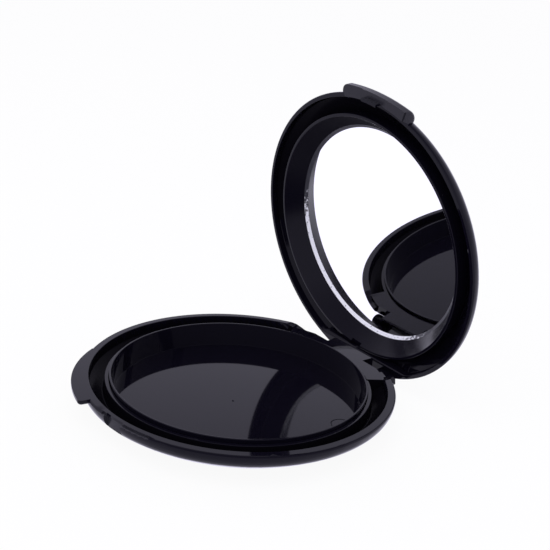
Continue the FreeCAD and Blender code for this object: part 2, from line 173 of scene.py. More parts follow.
@dataclass(frozen=True)
class EffectGroup:
    """A shader effect that several finishes share, built once as a node group."""

    name: str
    inputs: tuple[tuple[str, float], ...]
    output: str
    made: ClassVar[dict[str, NodeTree]] = {}

    def tree(self) -> NodeTree:
        """Returns the group's tree, made on the first call."""
        if self.name not in self.made:
            tree = bpy.data.node_groups.new(self.name, "ShaderNodeTree")
            tree.interface.new_socket("Vector", in_out="INPUT", socket_type="NodeSocketVector")
            for name, value in self.inputs:
                socket = tree.interface.new_socket(name, in_out="INPUT", socket_type="NodeSocketFloat")
                socket.default_value = value
            tree.interface.new_socket(self.output, in_out="OUTPUT", socket_type="NodeSocketFloat")
            bench = NodeBench(tree)
            bench.add("NodeGroupOutput", {self.output: self.wire(bench, bench.add("NodeGroupInput"))})
            self.made[self.name] = tree
        return self.made[self.name]

    def wire(self, bench: NodeBench, source: Node) -> Socket:
        """Joins the group's nodes.

        Args:
            bench: The group's tree.
            source: The group's input node.

        Returns:
            The socket that leaves the group.
        """
        raise NotImplementedError

    def place(self, bench: NodeBench, vector: Socket, **values: float) -> Socket:
        """Puts the group in a material.

        Args:
            bench: The material's tree.
            vector: The coordinates that the effect follows.
            **values: Inputs of the group, with _ for a space.

        Returns:
            The group's output.
        """
        settings = {name.replace("_", " "): value for name, value in values.items()}
        node = bench.add("ShaderNodeGroup", {"Vector": vector, **settings}, node_tree=self.tree())
        return node.outputs[self.output]


class MouldFlow(EffectGroup):
    """Slow unevenness of a moulded face: a broad sink and a fine skin."""

    def wire(self, bench: NodeBench, source: Node) -> Socket:
        """Adds a broad and a fine noise together."""
        place = source.outputs["Vector"]
        broad = bench.add("ShaderNodeTexNoise", {"Vector": place, "Scale": source.outputs["Broad"]})
        fine = bench.add("ShaderNodeTexNoise", {"Vector": place, "Scale": source.outputs["Fine"]})
        small = bench.math("MULTIPLY", fine.outputs["Fac"], source.outputs["Fine Share"])
        return bench.math("ADD", broad.outputs["Fac"], small)


class Hairlines(EffectGroup):
    """Mask of fine rubbing lines, drawn out along one axis."""

    FULL: ClassVar[float] = 0.8

    def wire(self, bench: NodeBench, source: Node) -> Socket:
        """Stretches a noise and keeps its crests."""
        along, across = source.outputs["Along"], source.outputs["Across"]
        drawn = bench.take("ShaderNodeCombineXYZ", {0: along, 1: across, 2: across})
        stretched = bench.vector("MULTIPLY", source.outputs["Vector"], drawn).outputs[0]
        noise = bench.add("ShaderNodeTexNoise", {"Vector": stretched, "Scale": 1.0, "Detail": 3.0})
        return bench.remap(noise.outputs["Fac"], source.outputs["Floor"], self.FULL)


class Specks(EffectGroup):
    """Mask of sparse small specks, such as dust or chips."""

    def wire(self, bench: NodeBench, source: Node) -> Socket:
        """Keeps the hearts of some cells of a cell pattern."""
        place, scale = source.outputs["Vector"], source.outputs["Scale"]
        cells = bench.add("ShaderNodeTexVoronoi", {"Vector": place, "Scale": scale})
        heart = bench.math("LESS_THAN", cells.outputs["Distance"], source.outputs["Size"])
        pick = bench.add("ShaderNodeSeparateColor", {"Color": cells.outputs["Color"]})
        chosen = bench.math("LESS_THAN", pick.outputs[0], source.outputs["Share"])
        return bench.math("MULTIPLY", heart, chosen)


class RingMark(EffectGroup):
    """Height of one raised ring on a level face, such as the trace of an ejector or of the gate."""

    def wire(self, bench: NodeBench, source: Node) -> Socket:
        """Raises what lies within a width of the ring's line."""
        centre = bench.take("ShaderNodeCombineXYZ", {0: source.outputs["Side"], 1: source.outputs["Back"]})
        offset = bench.vector("SUBTRACT", source.outputs["Vector"], centre).outputs[0]
        level = bench.vector("MULTIPLY", offset, FLATTEN).outputs[0]
        away = bench.vector("LENGTH", level).outputs["Value"]
        gap = bench.math("ABSOLUTE", bench.math("SUBTRACT", away, source.outputs["Radius"]))
        return bench.remap(gap, 0.0, source.outputs["Width"], (1.0, 0.0), smooth=True)


MOULD_FLOW = MouldFlow("Mould flow", (("Broad", 60.0), ("Fine", 900.0), ("Fine Share", 0.1)), "Height")
HAIRLINES = Hairlines("Hairlines", (("Along", 300.0), ("Across", 9000.0), ("Floor", 0.7)), "Mask")
SPECKS = Specks("Specks", (("Scale", 1500.0), ("Size", 0.1), ("Share", 0.05)), "Mask")
RING_MARK = RingMark(
    "Ring mark", (("Side", 0.0), ("Back", 0.0), ("Radius", 0.002), ("Width", 0.0002)), "Height"
)


@dataclass(frozen=True)
class Finish:
    """A surface finish with a material of its own."""

    name: str
    colour: Colour
    roughness: float

    def material(self) -> Material:
        """Returns the finish's material, made on the first call."""
        made = bpy.data.materials.get(self.name)
        if made is None:
            made = bpy.data.materials.new(self.name)
            made.use_nodes = True
            made.diffuse_color = (*self.colour, 1.0)
            bench = NodeBench(made.node_tree)
            place = bench.add("ShaderNodeTexCoord").outputs["Object"]
            plain = {"Base Color": (*self.colour, 1.0), "Roughness": self.roughness}
            shader = bench.add("ShaderNodeBsdfPrincipled", plain)
            self.dress(bench, place, shader)
            bench.add("ShaderNodeOutputMaterial", {"Surface": shader.outputs[0]})
        return made

    def dress(self, bench: NodeBench, place: Socket, shader: Node) -> None:
        """Joins the finish's detail to its shader.

        Args:
            bench: The material's tree.
            place: Object coordinates.
            shader: The Principled shader.
        """
        raise NotImplementedError

    def tint(self, bench: NodeBench, mask: Socket, other: Colour, first: Optional[Socket] = None) -> Socket:
        """Mixes a colour with another by a mask.

        Args:
            bench: The material's tree.
            mask: How much of the other colour shows.
            other: The other colour.
            first: The first colour, or None for the finish's own.

        Returns:
            The mixed colour.
        """
        mix = bench.add("ShaderNodeMix", {"Factor": mask}, data_type="RGBA")
        ends = {socket.identifier: socket for socket in mix.inputs}
        ends["A_Color"].default_value = (*self.colour, 1.0)
        ends["B_Color"].default_value = (*other, 1.0)
        if first is not None:
            bench.tree.links.new(first, ends["A_Color"])
        return next(socket for socket in mix.outputs if socket.identifier == "Result_Color")

    def relief(self, bench: NodeBench, shader: Node, height: Socket, depth: float) -> None:
        """Gives the shader a bump.

        Args:
            bench: The material's tree.
            shader: The Principled shader.
            height: The bump's height, from nought to about one.
            depth: Metres of height at one.
        """
        bump = bench.take("ShaderNodeBump", {"Height": height, "Strength": 1.0, "Distance": depth})
        bench.feed(shader, {"Normal": bump})


@dataclass(frozen=True)
class GlossPlastic(Finish):
    """Injection-moulded gloss: slow unevenness, faint rubbing and a little dust."""

    ior: float = 1.21
    worn: float = 0.12
    dust: Colour = (0.05, 0.05, 0.052)
    flow_depth: float = 0.000004

    def dress(self, bench: NodeBench, place: Socket, shader: Node) -> None:
        """Joins flow, rubbing and dust to the shader."""
        rubbed = HAIRLINES.place(bench, place, Along=250.0, Across=5200.0, Floor=0.66)
        dusty = SPECKS.place(bench, place, Scale=900.0, Size=0.07, Share=0.02)
        flow = MOULD_FLOW.place(bench, place, Broad=55.0, Fine=1400.0, Fine_Share=0.02)
        colour = self.tint(bench, dusty, self.dust)
        gloss = self.gloss(bench, place, bench.math("MAXIMUM", rubbed, dusty))
        bench.feed(shader, {"IOR": self.ior, "Base Color": colour, "Roughness": gloss})
        self.relief(bench, shader, self.height(bench, place, flow), self.flow_depth)

    def gloss(self, bench: NodeBench, place: Socket, marked: Socket) -> Socket:
        """Returns the roughness of the skin.

        Args:
            bench: The material's tree.
            place: Object coordinates.
            marked: Mask of rubbing and dust.

        Returns:
            The roughness' socket.
        """
        return bench.remap(marked, 0.0, 1.0, (self.roughness, self.worn))

    def height(self, bench: NodeBench, place: Socket, flow: Socket) -> Socket:
        """Returns the height of the skin, in units of the flow's depth.

        Args:
            bench: The material's tree.
            place: Object coordinates.
            flow: The moulding's own unevenness.

        Returns:
            The height's socket.
        """
        return flow


@dataclass(frozen=True)
class Mark:
    """One ring that the mould left on a level face, in millimetres."""

    side: float
    back: float
    radius: float
    width: float
    rise: float


@dataclass(frozen=True)
class MarkedPlastic(GlossPlastic):
    """Gloss plastic with the traces of the gate and of an ejector on a level face."""

    marks: tuple[Mark, ...] = ()

    def height(self, bench: NodeBench, place: Socket, flow: Socket) -> Socket:
        """Adds each mark to the unevenness; see the parent's method."""
        for mark in self.marks:
            sizes = {"Side": mark.side, "Back": mark.back, "Radius": mark.radius, "Width": mark.width}
            ring = RING_MARK.place(bench, place, **{name: size * MM for name, size in sizes.items()})
            flow = bench.math("ADD", flow, bench.math("MULTIPLY", ring, mark.rise * MM / self.flow_depth))
        return flow


@dataclass(frozen=True)
class BlastedPlastic(GlossPlastic):
    """Satin plastic from a mould that was polished by the hinge and blasted towards the tab."""

    blasted: float = 0.85
    polished_below: float = 36.0
    blasted_above: float = 60.0

    def gloss(self, bench: NodeBench, place: Socket, marked: Socket) -> Socket:
        """Roughens the skin with its height on the open lid; see the parent's method."""
        rise = bench.add("ShaderNodeSeparateXYZ", {0: place}).outputs["Z"]
        low, high = self.polished_below * MM, self.blasted_above * MM
        matt = bench.remap(rise, low, high, (self.roughness, self.blasted), smooth=True)
        return bench.math("MAXIMUM", super().gloss(bench, place, marked), matt)


@dataclass(frozen=True)
class Silvering(Finish):
    """Silvered glass, clean but for a little dust and faint wiping lines."""

    wiped: float = 0.06
    dust: Colour = (0.7, 0.7, 0.7)

    def dress(self, bench: NodeBench, place: Socket, shader: Node) -> None:
        """Joins dust and wiping lines to the shader."""
        rubbed = HAIRLINES.place(bench, place, Along=180.0, Across=3000.0, Floor=0.68)
        dusty = SPECKS.place(bench, place, Scale=700.0, Size=0.06, Share=0.02)
        colour = self.tint(bench, dusty, self.dust)
        gloss = bench.remap(rubbed, 0.0, 1.0, (self.roughness, self.wiped))
        bench.feed(shader, {"Metallic": 1.0, "Base Color": colour, "Roughness": gloss})


@dataclass(frozen=True)
class GroundEdge(Finish):
    """The mirror's ground edge: bright and chipped by the hinge, darkened towards the tab by painted shade.
    """

    chip: Colour = (0.1, 0.1, 0.11)
    painted_shade_colour: Colour = (0.035, 0.035, 0.042)
    run: Direction = (-0.577, 0.0, -1.0)
    fully_shaded_at: float = -26.0
    unshaded_at: float = -18.0
    ragged: float = 28.0
    mean_break: float = 0.75
    keenest: float = 0.18
    depth: float = 0.00002

    def dress(self, bench: NodeBench, place: Socket, shader: Node) -> None:
        """Joins chips, painted shade towards the tab and grinding lines to the shader."""
        chipped = SPECKS.place(bench, place, Scale=1900.0, Size=0.3, Share=0.15)
        ground = MOULD_FLOW.place(bench, place, Broad=1500.0, Fine=6000.0, Fine_Share=0.6)
        # Painted shade: the edge's colour darkens along the run towards the tab, past a ragged boundary.
        along = bench.vector("DOT_PRODUCT", place, self.run).outputs["Value"]
        broken = MOULD_FLOW.place(bench, place, Broad=1100.0, Fine=3000.0, Fine_Share=0.5)
        strayed = bench.math("MULTIPLY", bench.math("SUBTRACT", broken, self.mean_break), self.ragged * MM)
        along = bench.math("ADD", along, strayed)
        painted_shade_mask = bench.remap(along, self.unshaded_at * MM, self.fully_shaded_at * MM, smooth=True)
        colour = self.tint(bench, painted_shade_mask, self.painted_shade_colour, self.tint(bench, chipped, self.chip))
        gloss = bench.remap(ground, 0.0, 1.0, (self.keenest, self.roughness))
        bench.feed(shader, {"Base Color": colour, "Roughness": gloss})
        self.relief(bench, shader, ground, self.depth)


@dataclass(frozen=True)
class TapeFilm(Finish):
    """Matt film with a fine grain."""

    keenest: float = 0.5
    depth: float = 0.00003

    def dress(self, bench: NodeBench, place: Socket, shader: Node) -> None:
        """Joins the grain to the shader."""
        grain = MOULD_FLOW.place(bench, place, Broad=700.0, Fine=5000.0, Fine_Share=0.5)
        bench.feed(shader, {"Roughness": bench.remap(grain, 0.0, 1.0, (self.keenest, self.roughness))})
        self.relief(bench, shader, grain, self.depth)


@dataclass(frozen=True)
class DrawnWire(Finish):
    """Drawn steel wire, lined along the pin."""

    line: Colour = (0.4, 0.4, 0.42)
    keenest: float = 0.2
    depth: float = 0.00001

    def dress(self, bench: NodeBench, place: Socket, shader: Node) -> None:
        """Joins the drawing lines to the shader."""
        lines = HAIRLINES.place(bench, place, Along=120.0, Across=16000.0, Floor=0.4)
        colour = self.tint(bench, lines, self.line)
        gloss = bench.remap(lines, 0.0, 1.0, (self.keenest, self.roughness))
        bench.feed(shader, {"Metallic": 1.0, "Base Color": colour, "Roughness": gloss})
        self.relief(bench, shader, lines, self.depth)


BLACK = (0.0035, 0.003, 0.0065)
BLACK_GLOSS = GlossPlastic("Black gloss plastic", BLACK, 0.05)
WELL_GLOSS = MarkedPlastic(
    "Black gloss plastic with mould marks",
    BLACK,
    0.05,
    marks=(
        Mark(side=1.5, back=-2.5, radius=0.0, width=0.4, rise=0.12),
        Mark(side=22.7, back=13.2, radius=2.5, width=0.16, rise=0.1),
    ),
)
# Painted shade: the grooves get a darker, barely reflecting copy of the black plastic (IOR 1.06) in place of
# the shade that falls in them; the rougher skin is a matt finish.
SHADED_CHANNEL = GlossPlastic("Black channel plastic with painted shade", (0.0032, 0.0028, 0.0045), 0.25, ior=1.06, worn=0.4)
# Painted sheen: a lighter grey copy of the black plastic stands in for the light that the clasp pocket, the
# clasp step and the lid's thumb tab catch; the rougher, rubbed skin is a satin finish.
RUBBED_WITH_PAINTED_SHEEN = GlossPlastic("Rubbed black plastic with painted sheen", (0.02, 0.0195, 0.024), 0.25, worn=0.45)
FUNNEL_SATIN = BlastedPlastic("Satin black plastic", BLACK, 0.2, worn=0.32)
SILVER = Silvering("Silvered glass", (0.97, 0.975, 0.975), 0.01)
GROUND = GroundEdge("Ground glass edge", (0.86, 0.87, 0.88), 0.5)
TAPE = TapeFilm("Tape film", (0.82, 0.82, 0.80), 0.8)
STEEL = DrawnWire("Drawn steel wire", (0.62, 0.62, 0.64), 0.38)


@dataclass(frozen=True)
class Hinge:
    """Where the lid turns, and how far it stands open."""

    setback: float = 34.2 * MM
    height: float = 2.1 * MM
    angle: float = math.radians(79.7)

    def pivot(self) -> Vector:
        """A point on the hinge axis."""
        return Vector((0.0, self.setback, self.height))

    def opening(self) -> Matrix:
        """Turns a point of the shut lid to its place on the open lid."""
        pivot = self.pivot()
        return Matrix.Translation(pivot) @ Matrix.Rotation(-self.angle, 4, "X") @ Matrix.Translation(-pivot)


def put(name: str, data: ID) -> Object:
    """Puts a new object in the scene.

    Args:
        name: The object's name.
        data: Its mesh, curve, camera or light.

    Returns:
        The new object.
    """
    thing = bpy.data.objects.new(name, data)
    bpy.context.scene.collection.objects.link(thing)
    return thing


class TurningTree:
    """Geometry Nodes tree that rounds a profile's corners, turns it on its axis and tips it open."""

    NAME: ClassVar[str] = "Turned form"
    WELD: ClassVar[float] = 0.000001

    def __init__(self) -> None:
        """Builds the tree and its named inputs."""
        tree = bpy.data.node_groups.new(self.NAME, "GeometryNodeTree")
        self.tree = tree
        self.inputs: dict[str, str] = {}
        kinds = {
            "Profile": "Geometry",
            "Steps": "Int",
            "Round Steps": "Int",
            "Open Angle": "Vector",
            "Pivot": "Vector",
            "Margin Radius": "Float",
            "Notched": "Bool",
            "Notch Centre": "Vector",
            "Notch Size": "Vector",
            "Material": "Material",
            "Margin Material": "Material",
        }
        for name, kind in kinds.items():
            socket = tree.interface.new_socket(name, in_out="INPUT", socket_type="NodeSocket" + kind)
            self.inputs[name] = socket.identifier
        tree.interface.new_socket("Form", in_out="OUTPUT", socket_type="NodeSocketGeometry")
        self.bench = NodeBench(tree)
        self.source = self.bench.add("NodeGroupInput").outputs
        form = self.crease(self.notch(self.revolve()))
        self.bench.add("NodeGroupOutput", {0: self.tip(form)})

    def revolve(self) -> Socket:
        """Rounds the profile's corners and turns it.

        Returns:
            The closed form.
        """
        bench, source = self.bench, self.source
        radius = bench.take("GeometryNodeInputRadius")
        rounding = {"Count": source["Round Steps"], "Radius": radius, "Limit Radius": True}
        rounded = bench.take("GeometryNodeFilletCurve", {"Curve": source["Profile"], **rounding}, mode="POLY")
        outline = bench.take("GeometryNodeCurveToMesh", {"Curve": rounded})
        size = bench.add("GeometryNodeAttributeDomainSize", {0: outline}, component="MESH")
        count = size.outputs["Point Count"]
        columns = bench.math("ADD", source["Steps"], 1.0)
        rows = bench.math("ADD", count, 1.0)
        grid = bench.add("GeometryNodeMeshGrid", {"Vertices X": rows, "Vertices Y": columns}).outputs["Mesh"]
        index = bench.take("GeometryNodeInputIndex")
        row = bench.math("MODULO", bench.math("FLOOR", bench.math("DIVIDE", index, columns)), count)
        column = bench.math("MODULO", index, columns)
        sample = bench.take(
            "GeometryNodeSampleIndex",
            {"Geometry": outline, "Value": bench.take("GeometryNodeInputPosition"), "Index": row},
            data_type="FLOAT_VECTOR",
            domain="POINT",
        )
        point = bench.add("ShaderNodeSeparateXYZ", {0: sample}).outputs
        turn = bench.math("MULTIPLY", bench.math("DIVIDE", column, source["Steps"]), math.tau)
        x, y = (bench.math("MULTIPLY", point["X"], bench.math(wave, turn)) for wave in ("COSINE", "SINE"))
        place = bench.take("ShaderNodeCombineXYZ", {0: x, 1: y, 2: point["Z"]})
        form = bench.take("GeometryNodeSetPosition", {"Geometry": grid, "Position": place})
        return bench.take("GeometryNodeMergeByDistance", {"Geometry": form, "Distance": self.WELD})

    def notch(self, form: Socket) -> Socket:
        """Cuts a block out of the form, where a notch is asked for.

        Args:
            form: The closed form.

        Returns:
            The form with or without its notch.
        """
        bench, source = self.bench, self.source
        cutter = bench.add("GeometryNodeMeshCube", {"Size": source["Notch Size"]}).outputs["Mesh"]
        cutter = bench.take("GeometryNodeTransform", {0: cutter, "Translation": source["Notch Centre"]})
        cut = bench.add("GeometryNodeMeshBoolean", {"Mesh 1": form, "Mesh 2": cutter}, operation="DIFFERENCE")
        choice = {"Switch": source["Notched"], "False": form, "True": cut.outputs["Mesh"]}
        return bench.take("GeometryNodeSwitch", choice, input_type="GEOMETRY")

    def crease(self, form: Socket) -> Socket:
        """Shades the form smooth, but for its sharp folds.

        Args:
            form: The form.

        Returns:
            The shaded form.
        """
        bench = self.bench
        form = bench.take("GeometryNodeSetShadeSmooth", {0: form, "Shade Smooth": True}, domain="FACE")
        fold = bench.take("GeometryNodeInputMeshEdgeAngle")
        sharp = bench.take("FunctionNodeCompare", {0: fold, 1: CREASE}, operation="GREATER_THAN")
        folds = {0: form, "Selection": sharp, "Shade Smooth": False}
        return bench.take("GeometryNodeSetShadeSmooth", folds, domain="EDGE")

    def tip(self, form: Socket) -> Socket:
        """Tips the form open and gives it its materials, with another one outside the margin's radius.

        Args:
            form: The upright form.

        Returns:
            The form in its place.
        """
        bench, source = self.bench, self.source
        flat = bench.vector("MULTIPLY", bench.take("GeometryNodeInputPosition"), FLATTEN).outputs[0]
        away = bench.vector("LENGTH", flat).outputs["Value"]
        keep = bench.add("GeometryNodeCaptureAttribute", domain="FACE")
        keep.capture_items.new("FLOAT", "Away")
        bench.feed(keep, {"Geometry": form, "Away": away})
        limit = {0: keep.outputs["Away"], 1: source["Margin Radius"]}
        margin = bench.take("FunctionNodeCompare", limit, operation="GREATER_THAN")
        back = bench.take("ShaderNodeVectorMath", {0: source["Pivot"], "Scale": -1.0}, operation="SCALE")
        form = bench.take("GeometryNodeTransform", {0: keep.outputs["Geometry"], "Translation": back})
        opened = {"Translation": source["Pivot"], "Rotation": source["Open Angle"]}
        form = bench.take("GeometryNodeTransform", {0: form, **opened})
        form = bench.take("GeometryNodeRealizeInstances", {0: form})
        form = bench.take("GeometryNodeSetMaterial", {0: form, "Material": source["Material"]})
        edge = {"Selection": margin, "Material": source["Margin Material"]}
        return bench.take("GeometryNodeSetMaterial", {0: form, **edge})

    def turn(self, name: str, corners: Sequence[Corner], values: dict[str, Any]) -> Object:
        """Turns one profile into a plain mesh object.

        Args:
            name: The new object's name.
            corners: Radius, height and round of each corner, in millimetres.
            values: The tree's inputs by name.

        Returns:
            The new object, in its place in the frame.
        """
        curve = bpy.data.curves.new(name + "_profile", "CURVE")
        curve.dimensions = "3D"
        spline = curve.splines.new("POLY")
        spline.points.add(len(corners) - 1)
        for point, (radius, height, rounding) in zip(spline.points, corners):
            point.co = (radius * MM, 0.0, height * MM, 1.0)
            point.radius = rounding * MM
        spline.use_cyclic_u = True
        maker = put(name + "_maker", curve)
        modifier = maker.modifiers.new("Turn", "NODES")
        modifier.node_group = self.tree
        for key, value in values.items():
            modifier[self.inputs[key]] = value
        graph = bpy.context.evaluated_depsgraph_get()
        mesh = bpy.data.meshes.new_from_object(maker.evaluated_get(graph), depsgraph=graph)
        bpy.data.objects.remove(maker)
        mesh.name = name
        return put(name, mesh)


def outward(mesh: Mesh) -> None:
    """Makes the faces of a closed mesh point outwards.

    Args:
        mesh: The mesh to mend in place.
    """
    shape = bmesh.new()
    shape.from_mesh(mesh)
    bmesh.ops.recalc_face_normals(shape, faces=shape.faces)
    shape.to_mesh(mesh)
    shape.free()


class Strength(Enum):
    """How much a face's normal counts against its neighbours', as the Weighted Normal modifier reads it."""

    NARROW = -16384
    CURVED = 0
    FLAT = 16384


def rank_faces(shape: bmesh.types.BMesh, narrow: float) -> None:
    """Marks flats as strong and narrow edge faces as weak, so that a fine edge reads as a round.

    Args:
        shape: The mesh, with its level faces already joined.
        narrow: Width below which a face is part of an edge, in metres.
    """
    layer = shape.faces.layers.int.new(STRENGTH_LAYER)
    for face in shape.faces:
        width = 2.0 * face.calc_area() / face.calc_perimeter()
        kind = Strength.NARROW if width < narrow else Strength.CURVED
        face[layer] = (Strength.FLAT if len(face.verts) > QUAD_CORNERS else kind).value


def ease_shading(piece: Object, ranked: bool = False) -> None:
    """Lets large faces keep their own normals, so that narrow edge faces read as fine rounds.

    Args:
        piece: The object to shade.
        ranked: Whether its faces are marked by strength; otherwise their area decides.
    """
    modifier = piece.modifiers.new("Fine edges", "WEIGHTED_NORMAL")
    modifier.mode = "FACE_AREA_WITH_ANGLE" if ranked else "FACE_AREA"
    modifier.weight = EVEN_WEIGHT if ranked else AREA_WEIGHT
    modifier.use_face_influence = ranked
    modifier.keep_sharp = True


def seat(piece: Object, body: Body, node: str) -> None:
    """Puts a finished piece on its body, in the place of the node that it stands for.

    Args:
        piece: The piece.
        body: The body that it rides on.
        node: The node that it replaces.
    """
    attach(piece, body.value)
    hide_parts(node)
    LOG.info("%s: %d faces on %s", piece.name, len(piece.data.polygons), body.value)


@dataclass(frozen=True)
class Zone:
    """Faces of a shell with a finish of their own, found in the shut case; in millimetres and degrees."""

    finish: Finish
    inner: float
    outer: float
    low: float
    high: float
    start: float = 0.0
    end: float = 360.0
    least_rise: float = -1.0
    most_rise: float = 1.0

    def holds(self, centre: Vector, normal: Vector) -> bool:
        """Says whether a face lies in the zone.

        Args:
            centre: The face's centre in the shut case.
            normal: The face's normal in the shut case.

        Returns:
            True for a face of the zone.
        """
        away = math.hypot(centre.x, centre.y) / MM
        turn = (math.degrees(math.atan2(centre.y, centre.x)) - self.start) % 360.0
        inside = self.inner < away < self.outer and self.low < centre.z / MM < self.high
        return inside and turn <= self.end - self.start and self.least_rise <= normal.z <= self.most_rise


@dataclass(frozen=True)
class Dome:
    """The domed outer skin of a shell, round about the upright axis of the shut case; in millimetres."""

    facing: float
    inner: float
    outer: float
    step: float = 0.5
    least_rise: float = 0.1
    most_skew: float = 0.06
    closest: float = 0.001

    def lean(self, centre: Vector, normal: Vector) -> Optional[float]:
        """Finds how far a face of the skin leans out.

        Args:
            centre: The face's centre in the shut case.
            normal: The face's normal in the shut case.

        Returns:
            The lean, in radians, or None for a face that isn't part of the skin.
        """
        out = Vector((centre.x, centre.y, 0.0)).normalized()
        rise = normal.z * self.facing
        inside = self.inner < math.hypot(centre.x, centre.y) / MM < self.outer
        if inside and rise > self.least_rise and abs(out.cross(normal).z) < self.most_skew:
            return math.atan2(normal.dot(out), rise)
        return None

    def smooth(self, mesh: Mesh, shut: Matrix) -> None:
        """Gives the skin normals that change only with the distance from the axis.

        Args:
            mesh: The shell, in its place, with its other normals settled.
            shut: Turns a point of the shell to its place in the shut case.
        """
        turn = shut.to_3x3()
        back = turn.inverted()
        skin: list[MeshPolygon] = []
        sums: dict[int, tuple[float, float]] = {}
        for polygon in mesh.polygons:
            centre = shut @ polygon.center
            angle = self.lean(centre, turn @ polygon.normal)
            if angle is not None:
                skin.append(polygon)
                ring = round(math.hypot(centre.x, centre.y) / MM / self.step)
                lean, area = sums.get(ring, (0.0, 0.0))
                sums[ring] = (lean + angle * polygon.area, area + polygon.area)
        table = [(ring * self.step, lean / area) for ring, (lean, area) in sorted(sums.items())]
        normals = [corner.vector.copy() for corner in mesh.corner_normals]
        for polygon in skin:
            for loop in polygon.loop_indices:
                point = shut @ mesh.vertices[mesh.loops[loop].vertex_index].co
                out = Vector((point.x, point.y, 0.0))
                angle = self.read(table, out.length / MM)
                rise = Vector((0.0, 0.0, self.facing * math.cos(angle)))
                normals[loop] = back @ (out.normalized() * math.sin(angle) + rise)
        mesh.normals_split_custom_set(normals)

    def read(self, table: Sequence[tuple[float, float]], away: float) -> float:
        """Reads the skin's lean at a distance from the axis.

        Args:
            table: Distances and leans, in order.
            away: The distance, in millimetres.

        Returns:
            The lean, in radians.
        """
        nearest, least = table[0]
        if away <= nearest:
            return least * away / max(nearest, self.closest)
        for (near, first), (far, second) in zip(table, table[1:]):
            if away <= far:
                return first + (second - first) * (away - near) / (far - near)
        return table[-1][1]


@dataclass
class MouldedShell:
    """A moulded shell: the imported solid's own shape, merged and shaded as one smooth skin."""

    node: str
    body: Body
    zones: Sequence[Zone]
    dome: Dome
    opening: Matrix = field(default_factory=Matrix)
    finish: Finish = BLACK_GLOSS
    merge: float = 0.000002
    flat: float = math.radians(0.02)
    narrow: float = 0.25 * MM

    def merged(self, shut: Matrix) -> Mesh:
        """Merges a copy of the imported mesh, with its folds and zones marked.

        Args:
            shut: Turns a point of the shell to its place in the shut case.

        Returns:
            The new mesh.
        """
        shape = bmesh.new()
        shape.from_mesh(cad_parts[self.node].data)
        bmesh.ops.remove_doubles(shape, verts=shape.verts, dist=self.merge)
        bmesh.ops.dissolve_degenerate(shape, edges=shape.edges, dist=self.merge)
        bmesh.ops.dissolve_limit(shape, angle_limit=self.flat, verts=shape.verts, edges=shape.edges)
        rank_faces(shape, self.narrow)
        for face in shape.faces:
            face.smooth = True
            face.material_index = self.zone_of(face, shut)
        for edge in shape.edges:
            edge.smooth = len(edge.link_faces) == 2 and edge.calc_face_angle() < CREASE
        mesh = bpy.data.meshes.new(self.node + "_skin")
        shape.to_mesh(mesh)
        shape.free()
        for finish in (self.finish, *(zone.finish for zone in self.zones)):
            mesh.materials.append(finish.material())
        return mesh

    def build(self) -> None:
        """Dresses the merged copy and settles its normals."""
        shut = self.opening.inverted()
        piece = put(self.node + "_skin", self.merged(shut))
        ease_shading(piece, ranked=True)
        graph = bpy.context.evaluated_depsgraph_get()
        piece.data = bpy.data.meshes.new_from_object(piece.evaluated_get(graph), depsgraph=graph)
        piece.modifiers.clear()
        self.dome.smooth(piece.data, shut)
        seat(piece, self.body, self.node)

    def zone_of(self, face: bmesh.types.BMFace, shut: Matrix) -> int:
        """Finds the material index of a face.

        Args:
            face: A face of the shell, in its place.
            shut: Turns a point of the shell to its place in the shut case.

        Returns:
            Nought for the shell's own finish, or the zone's number.
        """
        centre = shut @ face.calc_center_median()
        normal = shut.to_3x3() @ face.normal
        held = (number for number, zone in enumerate(self.zones, 1) if zone.holds(centre, normal))
        return next(held, 0)


BASE_ZONES = (
    # Painted shade: the base's groove.
    Zone(SHADED_CHANNEL, inner=31.4, outer=35.15, low=0.0, high=6.9, least_rise=-0.2),
    # Painted sheen: the clasp pocket.
    Zone(RUBBED_WITH_PAINTED_SHEEN, inner=35.2, outer=37.1, low=4.0, high=7.3, start=273.0, end=283.0, least_rise=-0.2),
    # Painted sheen: the step at the clasp.
    Zone(RUBBED_WITH_PAINTED_SHEEN, inner=36.2, outer=37.1, low=7.3, high=7.79, start=271.9, end=294.6, least_rise=-0.2),
)
LID_ZONES = (
    # Painted shade: the lid's groove.
    Zone(SHADED_CHANNEL, inner=31.5, outer=35.8, low=8.7, high=20.0, start=171.0, end=369.0, most_rise=0.2),
    # Painted sheen: the lid's thumb tab.
    Zone(RUBBED_WITH_PAINTED_SHEEN, inner=36.85, outer=41.0, low=5.0, high=14.0, start=255.0, end=300.0),
)
BASE_BELLY = Dome(facing=-1.0, inner=27.9, outer=36.0)
LID_CROWN = Dome(facing=1.0, inner=0.0, outer=35.6)


@dataclass
class WellTray:
    """The thin pan in the base, turned from its profile; in millimetres."""

    radius: float = 30.5
    wall: float = 0.5
    floor: float = 0.55
    draft: float = 0.55
    corner: float = 0.06
    lip: float = 0.15
    low: float = 1.35
    high: float = 7.8
    steps: int = 256
    round_steps: int = 6

    def profile(self) -> list[Corner]:
        """Corners of the pan's section, from its centre out and back."""
        return [
            (0.0, self.low, 0.0),
            (self.radius - self.draft, self.low, self.corner + self.wall),
            (self.radius, self.high, self.lip),
            (self.radius - self.wall, self.high, self.lip),
            (self.radius - self.wall - self.draft, self.low + self.floor, self.corner),
            (0.0, self.low + self.floor, 0.0),
        ]

    def build(self, tree: TurningTree) -> None:
        """Turns the pan and dresses it.

        Args:
            tree: The tree that turns profiles.
        """
        material = WELL_GLOSS.material()
        values = {
            "Steps": self.steps,
            "Round Steps": self.round_steps,
            "Margin Radius": NO_MARGIN,
            "Material": material,
            "Margin Material": material,
        }
        piece = tree.turn("well_tray_pan", self.profile(), values)
        outward(piece.data)
        ease_shading(piece)
        seat(piece, Body.BASE, "well_tray")


